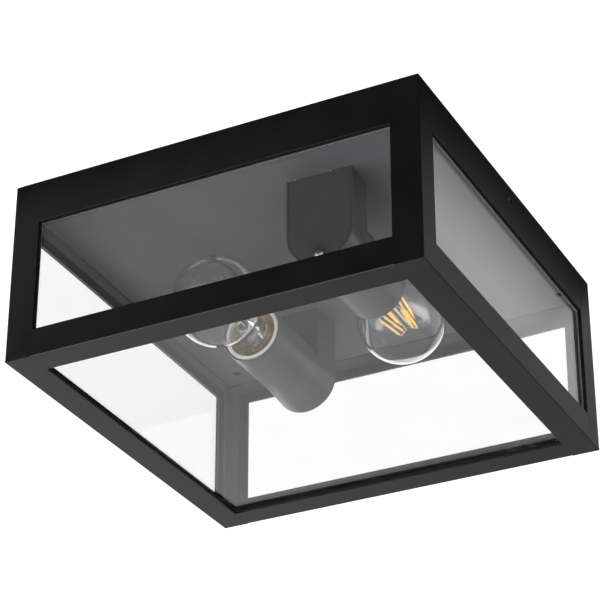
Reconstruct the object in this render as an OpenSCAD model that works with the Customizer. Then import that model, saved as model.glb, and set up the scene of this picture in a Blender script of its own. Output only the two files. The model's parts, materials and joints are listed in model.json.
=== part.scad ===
// Square glazed ceiling lantern with two bulbs lying side by side, turned end for end.
// Millimetres. The ceiling plane is z = 0, +Z points up and -Y is the front.

/* [Frame] */
// Outer width and depth of the square frame
frame_w = 300; // [280:1:400]
// Height of the frame from its top edge to its underside
frame_h = 134.5; // [125:0.5:220]
// Thickness of the frame's sheet steel
frame_sheet = 1.2; // [0.8:0.1:1.5]
// Outer radius of the frame's bends
frame_bend = 1; // [0.4:0.1:1.1]
// Width of each corner post on either face
post_w = 20; // [14:0.5:30]
// Height of the rail above each window
top_rail_h = 31.5; // [24:0.5:40]
// Height of the rail below each window
bottom_rail_h = 20; // [14:0.5:28]
// Width of the border round the opening in the underside
border_w = 20; // [14:0.5:28]
// Drop from the ceiling to the frame's top edge
frame_drop = 2.5; // [2:0.1:4]
// Diameter of the screw hole in the left and right top rails
side_hole_d = 6; // [5:0.1:7]
// Depth of that hole below the frame's top edge
side_hole_depth = 10; // [8:0.5:11]

/* [Glazing] */
// Thickness of the glass
glass_t = 3; // [2:0.1:4]
// Thickness of the black glazing tape
tape_t = 2; // [1:0.1:3]
// Width of the black glazing tape
tape_w = 8; // [4:0.5:10]
// How far the tape shows past the edge of a side window
tape_show = 1.2; // [0:0.1:2]
// How far the tape shows past the edge of the opening in the underside
tape_show_below = 0.5; // [0:0.1:2]
// Clearance at the edges of the panes
pane_gap = 0.3; // [0.2:0.1:1]
// Clearance between the side panes and the base pan
pane_top_gap = 1.5; // [0.6:0.1:4]

/* [Base pan] */
// Distance from the frame's outer face to the pan's outer face
pan_inset = 3; // [2.4:0.1:4]
// Depth of the pan's underside below the frame's top edge
pan_recess = 15; // [14:0.5:20]
// Thickness of the pan's sheet steel
pan_sheet = 1; // [0.8:0.1:1.5]
// Width of the pan's in-turned rim and of the gasket on it
rim_w = 9; // [6:0.5:12]
// Thickness of the ceiling gasket
gasket_t = 1.5; // [1:0.1:2]
// Distance of each ceiling screw hole from the centre along X and along Y
ceiling_hole_xy = 131; // [100:1:132]
// Diameter of the ceiling screw holes
ceiling_hole_d = 6; // [4:0.1:8]
// Clearance between the rivet nuts and the sliding frame
slide_gap = 0.3; // [0.2:0.1:0.6]

/* [Wiring] */
// Width of the terminal block along X
block_w = 30; // [28:1:40]
// Depth of the terminal block along Y
block_d = 18; // [16:1:22]
// Height of the terminal block
block_h = 11; // [10:0.5:12]
// Distance between neighbouring poles
pole_pitch = 10; // [9:0.5:11]
// Outer diameter of the insulated leads
lead_d = 2; // [1.6:0.1:2.2]
// Inner radius of the leads' bends
lead_bend = 3; // [2.5:0.1:4]
// Height of the leads above the pan
lead_rise = 4.4; // [4:0.1:5]

/* [Lampholder housings] */
// Distance of each housing's axis from the lantern's middle
holder_x = 52; // [40:1:70]
// Distance of each end plate from the lantern's middle
holder_back = 92.5; // [88:0.5:110]
// Depth of the housing's axis below the pan
axis_depth = 43; // [36:0.5:50]
// Length of the housing from its end plate to its mouth
holder_len = 85.2; // [80:0.2:100]
// Radius of the saddle at the closed end, from where it tapers to the tube
saddle_r = 24.25; // [23.5:0.05:27]
// Length of the saddle
saddle_len = 26; // [24:0.5:32]
// Outer radius of the tube
tube_r = 22.3; // [22:0.1:23]
// Wall thickness of the housing and its end plate
housing_wall = 1.2; // [0.8:0.1:1.4]
// Width of each of the two tabs on the end plate
tab_w = 9; // [6:0.5:10]
// Distance of the tabs from the housing's middle
tab_x = 13; // [12:0.5:14]
// Distance of the end plate's screw below the axis
end_screw_drop = 17.5; // [14:0.5:18]

/* [Lampholder] */
// Clearance round the lampholder in the tube
holder_gap = 0.3; // [0.2:0.05:0.6]
// Width of the white rim in the tube's mouth
holder_rim_w = 3; // [2:0.1:3.2]
// Inner radius of the thread shell
shell_r = 14; // [13.9:0.1:14.4]
// Thickness of the thread shell
shell_t = 0.4; // [0.3:0.05:0.6]
// Length of the thread shell
shell_len = 22; // [20:0.5:24]
// Depth of the fully seated bulb's tip inside the mouth
seat_depth = 35; // [34:0.5:38]
// Outer radius of the threaded nipple
nipple_r = 5; // [4.6:0.1:5.2]
// Bore radius of the threaded nipple
nipple_bore = 3.75; // [3.6:0.05:3.9]

/* [Bulb] */
// Radius of the bulb's head
bulb_r = 31; // [27:0.5:32]
// Distance from the bulb's tip contact to the centre of its head
bulb_centre = 76; // [72:1:80]
// Wall thickness of the bulb's glass
bulb_wall = 0.5; // [0.4:0.1:1.2]
// Radius of the bulb's glass neck just outside the cap
neck_r = 14.2; // [13:0.1:14.6]
// Crest radius of the cap's thread
cap_r = 13.25; // [13:0.05:13.3]
// Pitch of the cap's thread
thread_pitch = 3.62; // [3.4:0.02:3.8]
// Diameter of a filament
filament_d = 1.6; // [1.2:0.1:2]
// Distance of the outer filaments from the bulb's axis on the cap's side
filament_r_low = 11.5; // [10:0.5:12]
// Distance of the outer filaments from the bulb's axis on the dome's side
filament_r_high = 7.9; // [7:0.1:9]
// Distance between the outer and the inner filament of a pair
filament_pair = 3.6; // [2.6:0.1:3.8]
// Distance from the tip contact to the filaments' lower ends
filament_low = 58; // [56:0.5:62]
// Distance from the tip contact to the filaments' upper ends
filament_high = 86.5; // [82:0.5:92]
// Directions of the four pairs of filaments about the bulb's axis, in degrees
pair_turns = [21, 137, 211, 306]; // [0:1:359]
// Sag of the left bulb in its thread, in degrees
sag_left = 0.8; // [0:0.1:2]
// Sag of the right bulb in its thread, in degrees
sag_right = 2.6; // [0:0.1:3.2]
// How far the left bulb is screwed out of its seat
out_left = 9; // [0:0.5:12]
// How far the right bulb is screwed out of its seat
out_right = 0; // [0:0.5:12]

/* [Hidden] */
$fn = 64;
cut = 0.01;            // overlap that keeps a cut open
thread_fit = 0.05;     // radial clearance of a screw in its tapped hole

// Frame
half_w = frame_w / 2;
frame_top = -frame_drop;
frame_bottom = frame_top - frame_h;
window_top = frame_top - top_rail_h;
window_bottom = frame_bottom + bottom_rail_h;
window_half = half_w - post_w;
opening_half = half_w - border_w;
side_hole_z = frame_top - side_hole_depth;

// Glazing
glass_out = half_w - frame_sheet - tape_t;     // outer face of the side panes
glass_in = glass_out - glass_t;
bed_z = frame_bottom + frame_sheet + tape_t;   // underside of the bottom pane
pane_foot = bed_z + glass_t + pane_gap;
wide_pane_half = half_w - frame_sheet - pane_gap;
narrow_pane_half = glass_in - pane_gap;
bottom_pane_half = half_w - frame_sheet - pane_gap;

// Base pan
pan_half = half_w - pan_inset;
pan_bottom = frame_top - pan_recess;
pan_top = pan_bottom + pan_sheet;
pane_head = pan_bottom - pane_top_gap;
nut_head_t = pan_inset - frame_sheet - slide_gap;
nut_head_r = 4.5;
nut_body_r = 3.5;
nut_bore_r = 2.1;
nut_grip_r = 3.9;      // crimped collar behind the wall
nut_grip_len = 2.5;
nut_len = 11;

// Wiring
wire_z = pan_top + lead_rise;
wire_hole_r = 1.5;
terminal_screw_r = 1.9;
terminal_well_r = 2.1;
block_screw_r = 1.5;
earth_y = -block_d / 2 - 13;
earth_stud_r = 2;
earth_nut_r = 3.9;     // over the corners of the nut, and the spacer under the eyelet
eyelet_r = 4.5;
eyelet_t = 0.8;
near_run = block_d / 2 + 21;    // first crossing run of the leads
far_run = block_d / 2 + 27;     // second crossing run
lead_pair_x = 1.6;              // half the distance between a holder's two leads
drop_y = 6.5;                   // the leads' drop, behind the end plate
grommet_hole_r = 4;
grommet_flange_r = 5;
grommet_bore_r = 3;
grommet_lip = 1;

// Lampholder housings
axis_z = pan_bottom - axis_depth;
saddle_in = saddle_r - housing_wall;
plate_gap = 0.25;               // round the end plate, before the saddle tapers
tube_in = tube_r - housing_wall;
lug_w = 8;
lug_y = [4, 21];
lug_screw = [saddle_in - 4.2, 12.5];
tab_back = 6;                   // length of the bent-over end of a tab
tab_slot_gap = 0.3;             // across the sheet
tab_slot_relief = 1.3;          // at each end of a tab, where the punched slot shows dark
m4_r = 2;
m4_hole_r = 2.2;
m4_head_r = 3.6;
m4_head_h = 2.4;
end_lug_half = 6;
end_lug_top = end_screw_drop - 6;
bracket_t = 2;
bracket_half = 11;
bracket_y = [12.5, 20];         // foot of the bracket, up to its upright
bracket_screw = [6, 16.2];
bracket_tail = 12;              // reach of the upright below the axis

// Lampholder, measured along the housing's axis from the end plate
seat_y = holder_len - seat_depth;
contact_t = 0.6;
contact_dome = 0.9;
contact_gap = 0.2;              // between the contact and the seated bulb's tip
floor_front = seat_y - contact_t - contact_dome - contact_gap;
floor_t = 4;
floor_back = floor_front - floor_t;
chamber_len = 5;
chamber_r = 12;
rear_wall = 5;
lamp_back = floor_back - chamber_len - rear_wall;
lamp_r = tube_in - holder_gap;
lamp_tail_r = 15.5;
pocket_r = shell_r + shell_t + 0.1;
rivet_r = 1.5;
rivet_head_r = 2.6;
rivet_head_t = 1;
nut_r = 8;                      // over the corners of the nipple's hex nuts
nut_t = 3;

// Bulb, measured along its own axis from the tip contact
cap_rim = 26.5;
cap_wall = 0.3;
cap_foot = 5;
tip_r = 4.6;
tip_t = 1.2;
tip_stem_r = 1.4;
cap_floor_r = 9;        // the cap's metal ends here, at the insulator
crest = 0.35;
turns = 5;
thread_start = 6;
cap_in = cap_r - 2 * crest - cap_wall;
glass_start = cap_rim - 2;
glass_foot_r = cap_in - 0.05;    // cemented into the cap
shoulder = cap_rim + 0.4;        // where the glass leaves the cap
blend_start = shoulder + 2;
blend_end = bulb_centre - 17;
neck_slope = 0.15;
wire_r = 0.35;
wire_gap = 0.4;         // between a filament's end and its wire
bead_r = 2;
rod_r = 1.8;
press_z = cap_rim + 15;
sag_pivot = floor_front + shell_len / 2;

// ---------------------------------------------------------------- shared shapes

// Puts a shape of the right-hand housing in its place, or turned half a turn for the left.
module place(side) {
    rotate([0, 0, side == "left" ? 180 : 0])
        translate([holder_x, -holder_back, 0])
            children();
}

// Turns a shape drawn along +Z so that it lies on the housing's axis.
module on_axis() {
    translate([0, 0, axis_z])
        rotate([-90, 0, 0])
            children();
}

// Places a shape drawn along the bulb's own axis, with its sag and its screwed-out length.
module place_bulb(side) {
    sag = side == "left" ? sag_left : sag_right;
    out = side == "left" ? out_left : out_right;
    place(side)
        translate([0, sag_pivot, axis_z])
            rotate([-90 - sag, 0, 0])
                translate([0, 0, seat_y + out - sag_pivot])
                    children();
}

module box(low, high) {
    translate(low)
        cube(high - low);
}

module ring(r_out, r_in, h) {
    difference() {
        cylinder(r = r_out, h = h);
        translate([0, 0, -cut])
            cylinder(r = r_in, h = h + 2 * cut);
    }
}

module hex_nut(r, bore, h) {
    difference() {
        cylinder(r = r, h = h, $fn = 6);
        translate([0, 0, -cut])
            cylinder(r = bore, h = h + 2 * cut);
    }
}

// Pan-head screw: the head sits on z = 0 and the shank points down.
module pan_screw(shank_r, head_r, head_h, len) {
    recess = head_r * 0.9;
    slot = head_r * 0.22;
    difference() {
        union() {
            translate([0, 0, -len])
                cylinder(r = shank_r, h = len + cut);
            intersection() {
                cylinder(r = head_r, h = head_h);
                translate([0, 0, head_h - 2 * head_r])
                    sphere(r = 2 * head_r);
            }
        }
        for (turn = [0, 90])
            rotate([0, 0, turn])
                box([-recess / 2, -slot / 2, head_h / 2], [recess / 2, slot / 2, head_h + cut]);
    }
}

// Quarter turn of a round lead, from the direction u to the direction v about the corner p.
module lead_bend_at(p, u, v, bend_r, d) {
    a = -v;
    n = cross(a, u);
    c = p - bend_r * u + bend_r * v;
    multmatrix([[a.x, u.x, n.x, c.x], [a.y, u.y, n.y, c.y], [a.z, u.z, n.z, c.z], [0, 0, 0, 1]])
        rotate_extrude(angle = 90)
            translate([bend_r, 0])
                circle(d = d, $fn = 24);
}

function unit(v) = v / norm(v);

// Round lead through axis-parallel points, with a quarter bend at every inner point.
module lead(points, bend_r, d) {
    last = len(points) - 2;
    for (i = [0:last]) {
        dir = unit(points[i + 1] - points[i]);
        start = points[i] + (i > 0 ? bend_r : 0) * dir;
        end = points[i + 1] - (i < last ? bend_r : 0) * dir;
        tilt = dir.z < 0 ? [180, 0, 0] : dir.x != 0 ? [0, 90 * dir.x, 0] : [-90 * dir.y, 0, 0];
        translate(start)
            rotate(tilt)
                cylinder(d = d, h = norm(end - start), $fn = 24);
        if (i < last)
            lead_bend_at(points[i + 1], dir, unit(points[i + 2] - points[i + 1]), bend_r, d);
    }
}

// ---------------------------------------------------------------- base pan

module base_pan() {
    color("#3a3a3c")
    difference() {
        union() {
            box([-pan_half, -pan_half, pan_bottom], [pan_half, pan_half, pan_top]);
            difference() {
                box([-pan_half, -pan_half, pan_bottom], [pan_half, pan_half, -gasket_t]);
                box([pan_sheet - pan_half, pan_sheet - pan_half, pan_bottom - cut],
                    [pan_half - pan_sheet, pan_half - pan_sheet, -gasket_t - pan_sheet]);
                box([rim_w - pan_half, rim_w - pan_half, pan_bottom],
                    [pan_half - rim_w, pan_half - rim_w, 0]);
            }
        }
        for (x = [-1, 1], y = [-1, 1])
            translate([x * ceiling_hole_xy, y * ceiling_hole_xy, pan_bottom - cut])
                cylinder(d = ceiling_hole_d, h = pan_sheet + 2 * cut);
        for (turn = [0, 180])
            rotate([0, 0, turn])
                translate([pan_half - pan_sheet - cut, 0, side_hole_z])
                    rotate([0, 90, 0])
                        cylinder(r = nut_body_r + thread_fit, h = pan_sheet + 2 * cut);
        for (side = ["left", "right"])
            place(side)
                pan_cuts();
        for (x = [-1, 1])
            translate([x * pole_pitch / 2, 0, pan_bottom - cut])
                cylinder(r = block_screw_r + thread_fit, h = pan_sheet + 2 * cut);
    }
}

// Holes of one housing in the pan: tab slots, screw holes and the leads' hole.
module pan_cuts() {
    low = pan_bottom - cut;
    high = pan_top + cut;
    for (x = [-1, 1]) {
        box([x * tab_x - tab_w / 2 - tab_slot_relief, -tab_slot_gap, low],
            [x * tab_x + tab_w / 2 + tab_slot_relief, housing_wall + tab_slot_gap, high]);
        translate([x * lug_screw.x, lug_screw.y, low])
            cylinder(r = m4_hole_r, h = high - low);
        translate([x * bracket_screw.x, bracket_screw.y, low])
            cylinder(r = m4_hole_r, h = high - low);
    }
    translate([0, drop_y, low])
        cylinder(r = grommet_hole_r, h = high - low);
}

module ceiling_gasket() {
    color("#1c1c1d")
    difference() {
        box([-pan_half, -pan_half, -gasket_t], [pan_half, pan_half, 0]);
        box([rim_w - pan_half, rim_w - pan_half, -gasket_t - cut],
            [pan_half - rim_w, pan_half - rim_w, cut]);
    }
}

module side_rivet_nuts() {
    color("#b8b8b4")
    for (turn = [0, 180])
        rotate([0, 0, turn])
            translate([pan_half, 0, side_hole_z])
                rotate([0, 90, 0])
                    difference() {
                        union() {
                            cylinder(r = nut_head_r, h = nut_head_t);
                            translate([0, 0, -nut_len])
                                cylinder(r = nut_body_r, h = nut_len + cut);
                            translate([0, 0, -pan_sheet - nut_grip_len])
                                cylinder(r = nut_grip_r, h = nut_grip_len);
                        }
                        translate([0, 0, -nut_len - cut])
                            cylinder(r = nut_bore_r, h = nut_len + nut_head_t + 2 * cut);
                    }
}

// ---------------------------------------------------------------- wiring

module terminal_block() {
    color("#e6e4dc")
    difference() {
        box([-block_w / 2, -block_d / 2, pan_top], [block_w / 2, block_d / 2, pan_top + block_h]);
        for (pole = [-1:1]) {
            translate([pole * pole_pitch, -block_d / 2 - cut, wire_z])
                rotate([-90, 0, 0])
                    cylinder(r = wire_hole_r, h = block_d + 2 * cut);
            for (y = [-1, 1])
                translate([pole * pole_pitch, y * block_d / 4, wire_z])
                    cylinder(r = terminal_well_r, h = block_h);
        }
        for (x = [-1, 1]) {
            translate([x * pole_pitch / 2, 0, pan_top - cut])
                cylinder(r = block_screw_r + thread_fit, h = block_h + 2 * cut);
            translate([x * pole_pitch / 2, 0, pan_top + block_h - 3])
                cylinder(r = block_screw_r + 1.4, h = 3 + cut);
        }
        for (pole = [-1, 1])
            box([pole * pole_pitch / 2 - 0.6, -block_d / 2 - cut, pan_top + block_h - 2],
                [pole * pole_pitch / 2 + 0.6, -block_d / 4, pan_top + block_h + cut]);
    }
}

module terminal_screws() {
    color("#c9a552")
    for (pole = [-1:1], y = [-1, 1])
        translate([pole * pole_pitch, y * block_d / 4, wire_z + lead_d / 2])
            difference() {
                cylinder(r = terminal_screw_r, h = 4);
                box([-terminal_screw_r, -0.4, 3], [terminal_screw_r, 0.4, 4 + cut]);
            }
}

module terminal_block_screws() {
    color("#b8b8b4")
    for (x = [-1, 1])
        translate([x * pole_pitch / 2, 0, pan_top + block_h - 3])
            pan_screw(block_screw_r, 2.7, 1.8, pan_top + block_h - 3 - pan_bottom);
}

module earth_stud() {
    color("#b8b8b4")
    translate([0, earth_y, pan_top]) {
        cylinder(r = earth_stud_r, h = 9.5);
        ring(earth_nut_r, earth_stud_r, lead_rise - eyelet_t / 2);
        translate([0, 0, lead_rise + eyelet_t / 2])
            hex_nut(earth_nut_r, earth_stud_r, 3);
    }
}

module earth_lead() {
    color("#5d8a3a") {
        translate([0, earth_y, wire_z - eyelet_t / 2])
            ring(eyelet_r, earth_stud_r + thread_fit, eyelet_t);
        lead([[0, -block_d / 4, wire_z], [0, earth_y + eyelet_r - 0.5, wire_z]], lead_bend, lead_d);
    }
}

// One lead from its pole, given in the housing's own turned frame, to the lampholder.
module holder_lead(side, pole_x, run, target_x) {
    rotate([0, 0, side == "left" ? 180 : 0])
        lead([[pole_x, -block_d / 4, wire_z],
              [pole_x, -run, wire_z],
              [target_x, -run, wire_z],
              [target_x, drop_y - holder_back, wire_z],
              [target_x, drop_y - holder_back, axis_z],
              [target_x, floor_back - rivet_head_t - holder_back, axis_z]],
             lead_bend, lead_d);
}

module live_leads() {
    color("#6e4630") {
        holder_lead("right", pole_pitch, near_run, holder_x + lead_pair_x);
        holder_lead("left", -pole_pitch, far_run, holder_x - lead_pair_x);
    }
}

module neutral_leads() {
    color("#3c5f96") {
        holder_lead("right", -pole_pitch, far_run, holder_x - lead_pair_x);
        holder_lead("left", pole_pitch, near_run, holder_x + lead_pair_x);
    }
}

module lead_grommets() {
    color("#242425")
    for (side = ["left", "right"])
        place(side)
            translate([0, drop_y, pan_bottom - grommet_lip])
                difference() {
                    union() {
                        cylinder(r = grommet_flange_r, h = grommet_lip);
                        cylinder(r = grommet_hole_r, h = pan_sheet + 2 * grommet_lip);
                        translate([0, 0, pan_sheet + grommet_lip])
                            cylinder(r = grommet_flange_r, h = grommet_lip);
                    }
                    translate([0, 0, -cut])
                        cylinder(r = grommet_bore_r, h = pan_sheet + 2 * grommet_lip + 2 * cut);
                }
}

// ---------------------------------------------------------------- screws of the housings

module housing_screws() {
    color("#b8b8b4")
    for (side = ["left", "right"], x = [-1, 1])
        place(side)
            translate([x * lug_screw.x, lug_screw.y, pan_top])
                pan_screw(m4_r, m4_head_r, m4_head_h, pan_sheet + 2 * housing_wall);
}

module bracket_screws() {
    color("#b8b8b4")
    for (side = ["left", "right"], x = [-1, 1])
        place(side)
            translate([x * bracket_screw.x, bracket_screw.y, pan_top])
                pan_screw(m4_r, m4_head_r, m4_head_h, pan_sheet + bracket_t + 0.8);
}

module end_plate_screws() {
    color("#c4c4c2")
    for (side = ["left", "right"])
        place(side)
            translate([0, 0, axis_z - end_screw_drop])
                rotate([90, 0, 0])
                    pan_screw(m4_r, m4_head_r, m4_head_h, 3 * housing_wall + 2);
}

module holder_nipples() {
    color("#b8b8b4")
    for (side = ["left", "right"])
        place(side)
            on_axis() {
                upright = bracket_y[1];
                translate([0, 0, upright - nut_t - 1.5])
                    ring(nipple_r, nipple_bore, lamp_back + rear_wall - upright + nut_t + 1.5);
                for (z = [upright - nut_t, upright + bracket_t, lamp_back - nut_t])
                    translate([0, 0, z])
                        hex_nut(nut_r, nipple_r + thread_fit, nut_t);
            }
}

// ---------------------------------------------------------------- lampholder housings

module holder_housing(side) {
    middle = housing_wall / 2;
    color("#3a3a3c")
    place(side)
    difference() {
        union() {
            difference() {
                saddle(saddle_r, tube_r, 0, saddle_len);
                saddle(saddle_in, tube_in, cut, saddle_len - housing_wall);
                on_axis()
                    translate([0, 0, saddle_len - 2 * housing_wall])
                        cylinder(r = tube_in, h = 2 * housing_wall + cut);
            }
            on_axis()
                tube();
            intersection() {
                folded_lugs();
                saddle(saddle_r - middle, tube_r - middle, 0, saddle_len);
            }
        }
        for (x = [-1, 1])
            translate([x * lug_screw.x, lug_screw.y, pan_bottom - housing_wall - cut])
                cylinder(r = m4_r + thread_fit, h = housing_wall + 2 * cut);
        translate([0, 0, axis_z - end_screw_drop])
            rotate([-90, 0, 0])
                cylinder(r = m4_r + thread_fit, h = 4 * housing_wall);
    }
}

// Saddle from the end plate to the tube: a tapering round bottom with straight sides up to the
// pan. The overlap opens the closed end and the side of the pan for the inner shape.
module saddle(r_end, r_front, overlap, len) {
    r_open = r_end + overlap * (r_end - r_front) / len;
    on_axis()
        translate([0, 0, -overlap])
            cylinder(r1 = r_open, r2 = r_front, h = len + overlap);
    translate([0, 0, axis_z])
        linear_extrude(axis_depth + overlap)
            polygon([[-r_open, -overlap], [r_open, -overlap], [r_front, len], [-r_front, len]]);
}

// Folded lugs before they are trimmed to the saddle: two under the pan for the housing's
// screws, and one at the bottom that takes the end plate's screw.
module folded_lugs() {
    for (x = [-1, 1])
        box([min(x * saddle_r, x * (saddle_in - lug_w)), lug_y[0], pan_bottom - housing_wall],
            [max(x * saddle_r, x * (saddle_in - lug_w)), lug_y[1], pan_bottom]);
    box([-end_lug_half, housing_wall, axis_z - saddle_r],
        [end_lug_half, 2.5 * housing_wall, axis_z - end_lug_top]);
}

// Tube of the housing with the rounded lip of its mouth.
module tube() {
    rotate_extrude() {
        translate([tube_in, saddle_len - housing_wall])
            square([housing_wall, holder_len - saddle_len + housing_wall / 2]);
        translate([tube_in + housing_wall / 2, holder_len - housing_wall / 2])
            circle(d = housing_wall, $fn = 24);
    }
}

module holder_housing_left() {
    holder_housing("left");
}

module holder_housing_right() {
    holder_housing("right");
}

module end_plate(side) {
    plate_r = saddle_in - plate_gap;
    color("#3a3a3c")
    place(side)
    difference() {
        union() {
            on_axis()
                linear_extrude(housing_wall) {
                    circle(r = plate_r);
                    translate([-plate_r, -axis_depth])
                        square([2 * plate_r, axis_depth]);
                }
            for (x = [-1, 1]) {
                box([x * tab_x - tab_w / 2, 0, pan_bottom - cut],
                    [x * tab_x + tab_w / 2, housing_wall, pan_top + housing_wall]);
                box([x * tab_x - tab_w / 2, 0, pan_top],
                    [x * tab_x + tab_w / 2, tab_back, pan_top + housing_wall]);
            }
        }
        translate([0, -cut, axis_z - end_screw_drop])
            rotate([-90, 0, 0])
                cylinder(r = m4_hole_r, h = housing_wall + 2 * cut);
    }
}

module end_plate_left() {
    end_plate("left");
}

module end_plate_right() {
    end_plate("right");
}

module holder_bracket(side) {
    color("#a9a9a6")
    place(side)
    difference() {
        union() {
            box([-bracket_half, bracket_y[0], pan_bottom - bracket_t],
                [bracket_half, bracket_y[1] + bracket_t, pan_bottom]);
            box([-bracket_half, bracket_y[1], axis_z - bracket_tail],
                [bracket_half, bracket_y[1] + bracket_t, pan_bottom]);
        }
        for (x = [-1, 1])
            translate([x * bracket_screw.x, bracket_screw.y, pan_bottom - bracket_t - cut])
                cylinder(r = m4_r + thread_fit, h = bracket_t + 2 * cut);
        translate([0, bracket_y[1] - cut, axis_z])
            rotate([-90, 0, 0])
                cylinder(r = nipple_r + 0.1, h = bracket_t + 2 * cut);
    }
}

module holder_bracket_left() {
    holder_bracket("left");
}

module holder_bracket_right() {
    holder_bracket("right");
}

// ---------------------------------------------------------------- lampholders

module lampholder(side) {
    skirt_in = lamp_r - holder_rim_w;
    shell_end = floor_front + shell_len;
    color("#dcdad4")
    place(side)
        on_axis()
            rotate_extrude()
                polygon([
                    [nipple_r + thread_fit, lamp_back],
                    [lamp_tail_r, lamp_back],
                    [lamp_tail_r, floor_front + 3],
                    [lamp_r, floor_front + 8],
                    [lamp_r, holder_len - 1],
                    [lamp_r - 0.7, holder_len - 0.3],
                    [skirt_in + 0.7, holder_len - 0.3],
                    [skirt_in, holder_len - 1],
                    [skirt_in, shell_end + 2],
                    [pocket_r, shell_end],
                    [pocket_r, floor_front],
                    [rivet_r + thread_fit, floor_front],
                    [rivet_r + thread_fit, floor_back],
                    [chamber_r, floor_back],
                    [chamber_r, floor_back - chamber_len],
                    [nipple_r + thread_fit, floor_back - chamber_len]
                ]);
}

module lampholder_left() {
    lampholder("left");
}

module lampholder_right() {
    lampholder("right");
}

module thread_shell(side) {
    color("#c9a552")
    place(side)
        on_axis()
            translate([0, 0, floor_front]) {
                ring(shell_r + shell_t, shell_r, shell_len);
                ring(shell_r + shell_t, shell_r - 4, shell_t);
            }
}

module thread_shell_left() {
    thread_shell("left");
}

module thread_shell_right() {
    thread_shell("right");
}

// Rivet through the lampholder's floor with the spring leaf under the bulb's tip.
module centre_contact(side) {
    color("#c9a552")
    place(side)
        on_axis() {
            translate([0, 0, floor_back - rivet_head_t])
                cylinder(r = rivet_head_r, h = rivet_head_t);
            translate([0, 0, floor_back - cut])
                cylinder(r = rivet_r, h = floor_t + 2 * cut);
            translate([0, 0, floor_front])
                box([-3, -7, 0], [3, 7, contact_t]);
            translate([0, 0, floor_front + contact_t - cut])
                cylinder(r1 = 3, r2 = 1.8, h = contact_dome + cut);
        }
}

module centre_contact_left() {
    centre_contact("left");
}

module centre_contact_right() {
    centre_contact("right");
}

// ---------------------------------------------------------------- bulbs

// Radius of the head and neck at the height z, for a given head and neck radius.
function head_r(z, r) = sqrt(max(0, r * r - pow(z - bulb_centre, 2)));
function blend_r(t, r, n) =
    let (r1 = head_r(blend_end, r), s1 = (bulb_centre - blend_end) / r1,
         span = blend_end - blend_start)
    (2 * t * t * t - 3 * t * t + 1) * n
        + (t * t * t - 2 * t * t + t) * span * neck_slope
        + (3 * t * t - 2 * t * t * t) * r1
        + (t * t * t - t * t) * span * s1;

// Meridian from the cap to the dome's pole, drawn in by the inset on the inner side.
function meridian(inset) =
    let (r = bulb_r - inset, n = neck_r - inset)
    concat(
    [[glass_foot_r - inset, glass_start], [glass_foot_r - inset, shoulder]],
    [for (i = [0:12]) [blend_r(i / 12, r, n), blend_start + (blend_end - blend_start) * i / 12]],
    [for (i = [1:18])
        let (a0 = asin((blend_end - bulb_centre) / r), a = a0 + (90 - a0) * i / 18)
        [i == 18 ? 0 : r * cos(a), bulb_centre + r * sin(a)]]
);

function reversed(list) = [for (i = [len(list) - 1:-1:0]) list[i]];

module bulb_glass(side) {
    color("#e8eef0", 0.35)
    place_bulb(side)
        rotate_extrude()
            polygon(concat(meridian(0), reversed(meridian(bulb_wall))));
}

module bulb_glass_left() {
    bulb_glass("left");
}

module bulb_glass_right() {
    bulb_glass("right");
}

// Rounded crests of the cap's thread as rings, one for each turn.
function crests() = [for (i = [0:turns * 6])
    [cap_r - crest + crest * cos(i * 60 + 180), thread_start + i * thread_pitch / 6]];

module bulb_cap(side) {
    color("#b9b7ae")
    place_bulb(side)
        rotate_extrude()
            polygon(concat(
                [[cap_floor_r, cap_foot - 0.4], [cap_r - 2 * crest, cap_foot]],
                crests(),
                [[cap_r - 2 * crest, cap_rim], [cap_in, cap_rim]],
                [[cap_in, cap_foot + cap_wall], [cap_floor_r, cap_foot + cap_wall - 0.4]]
            ));
}

module bulb_cap_left() {
    bulb_cap("left");
}

module bulb_cap_right() {
    bulb_cap("right");
}

module cap_insulator(side) {
    color("#161617")
    place_bulb(side)
        rotate_extrude()
            polygon([
                [tip_stem_r + 0.1, tip_t],
                [tip_r, tip_t],
                [cap_floor_r - 0.1, cap_foot - 0.6],
                [cap_floor_r - 0.1, cap_foot + 1],
                [tip_stem_r + 0.1, cap_foot + 1]
            ]);
}

module cap_insulator_left() {
    cap_insulator("left");
}

module cap_insulator_right() {
    cap_insulator("right");
}

module cap_contact(side) {
    color("#b9b7ae")
    place_bulb(side) {
        cylinder(r1 = tip_r - 1, r2 = tip_r, h = tip_t);
        cylinder(r = tip_stem_r, h = cap_foot + 1);
    }
}

module cap_contact_left() {
    cap_contact("left");
}

module cap_contact_right() {
    cap_contact("right");
}

// Flared glass stem with its central rod up to the bead that carries the upper wires.
module bulb_stem(side) {
    flare_r = glass_foot_r - bulb_wall - 0.1;
    color("#e8eef0", 0.35)
    place_bulb(side)
        rotate_extrude()
            polygon([
                [0, glass_start + 0.5],
                [flare_r, glass_start + 0.5],
                [flare_r, glass_start + 1.5],
                [6, glass_start + 6],
                [3.6, press_z],
                [rod_r, press_z + 5],
                [rod_r, filament_high - 3],
                [bead_r, filament_high - 2],
                [bead_r, filament_high + 1],
                [0, filament_high + 2]
            ]);
}

module bulb_stem_left() {
    bulb_stem("left");
}

module bulb_stem_right() {
    bulb_stem("right");
}

// Lean of a filament from its lower end to its upper end.
filament_rise = filament_high - filament_low;
filament_lean = atan((filament_r_low - filament_r_high) / filament_rise);
filament_len = norm([filament_r_low - filament_r_high, filament_rise]);

// Repeats a shape in the directions of the four pairs of filaments.
module each_pair() {
    for (turn = pair_turns)
        rotate([0, 0, turn])
            children();
}

module bulb_filaments(side) {
    color("#f0b24a")
    place_bulb(side)
        each_pair()
            for (inset = [0, filament_pair])
                translate([filament_r_low - inset, 0, filament_low])
                    rotate([0, -filament_lean, 0])
                        cylinder(d = filament_d, h = filament_len, $fn = 16);
}

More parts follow.
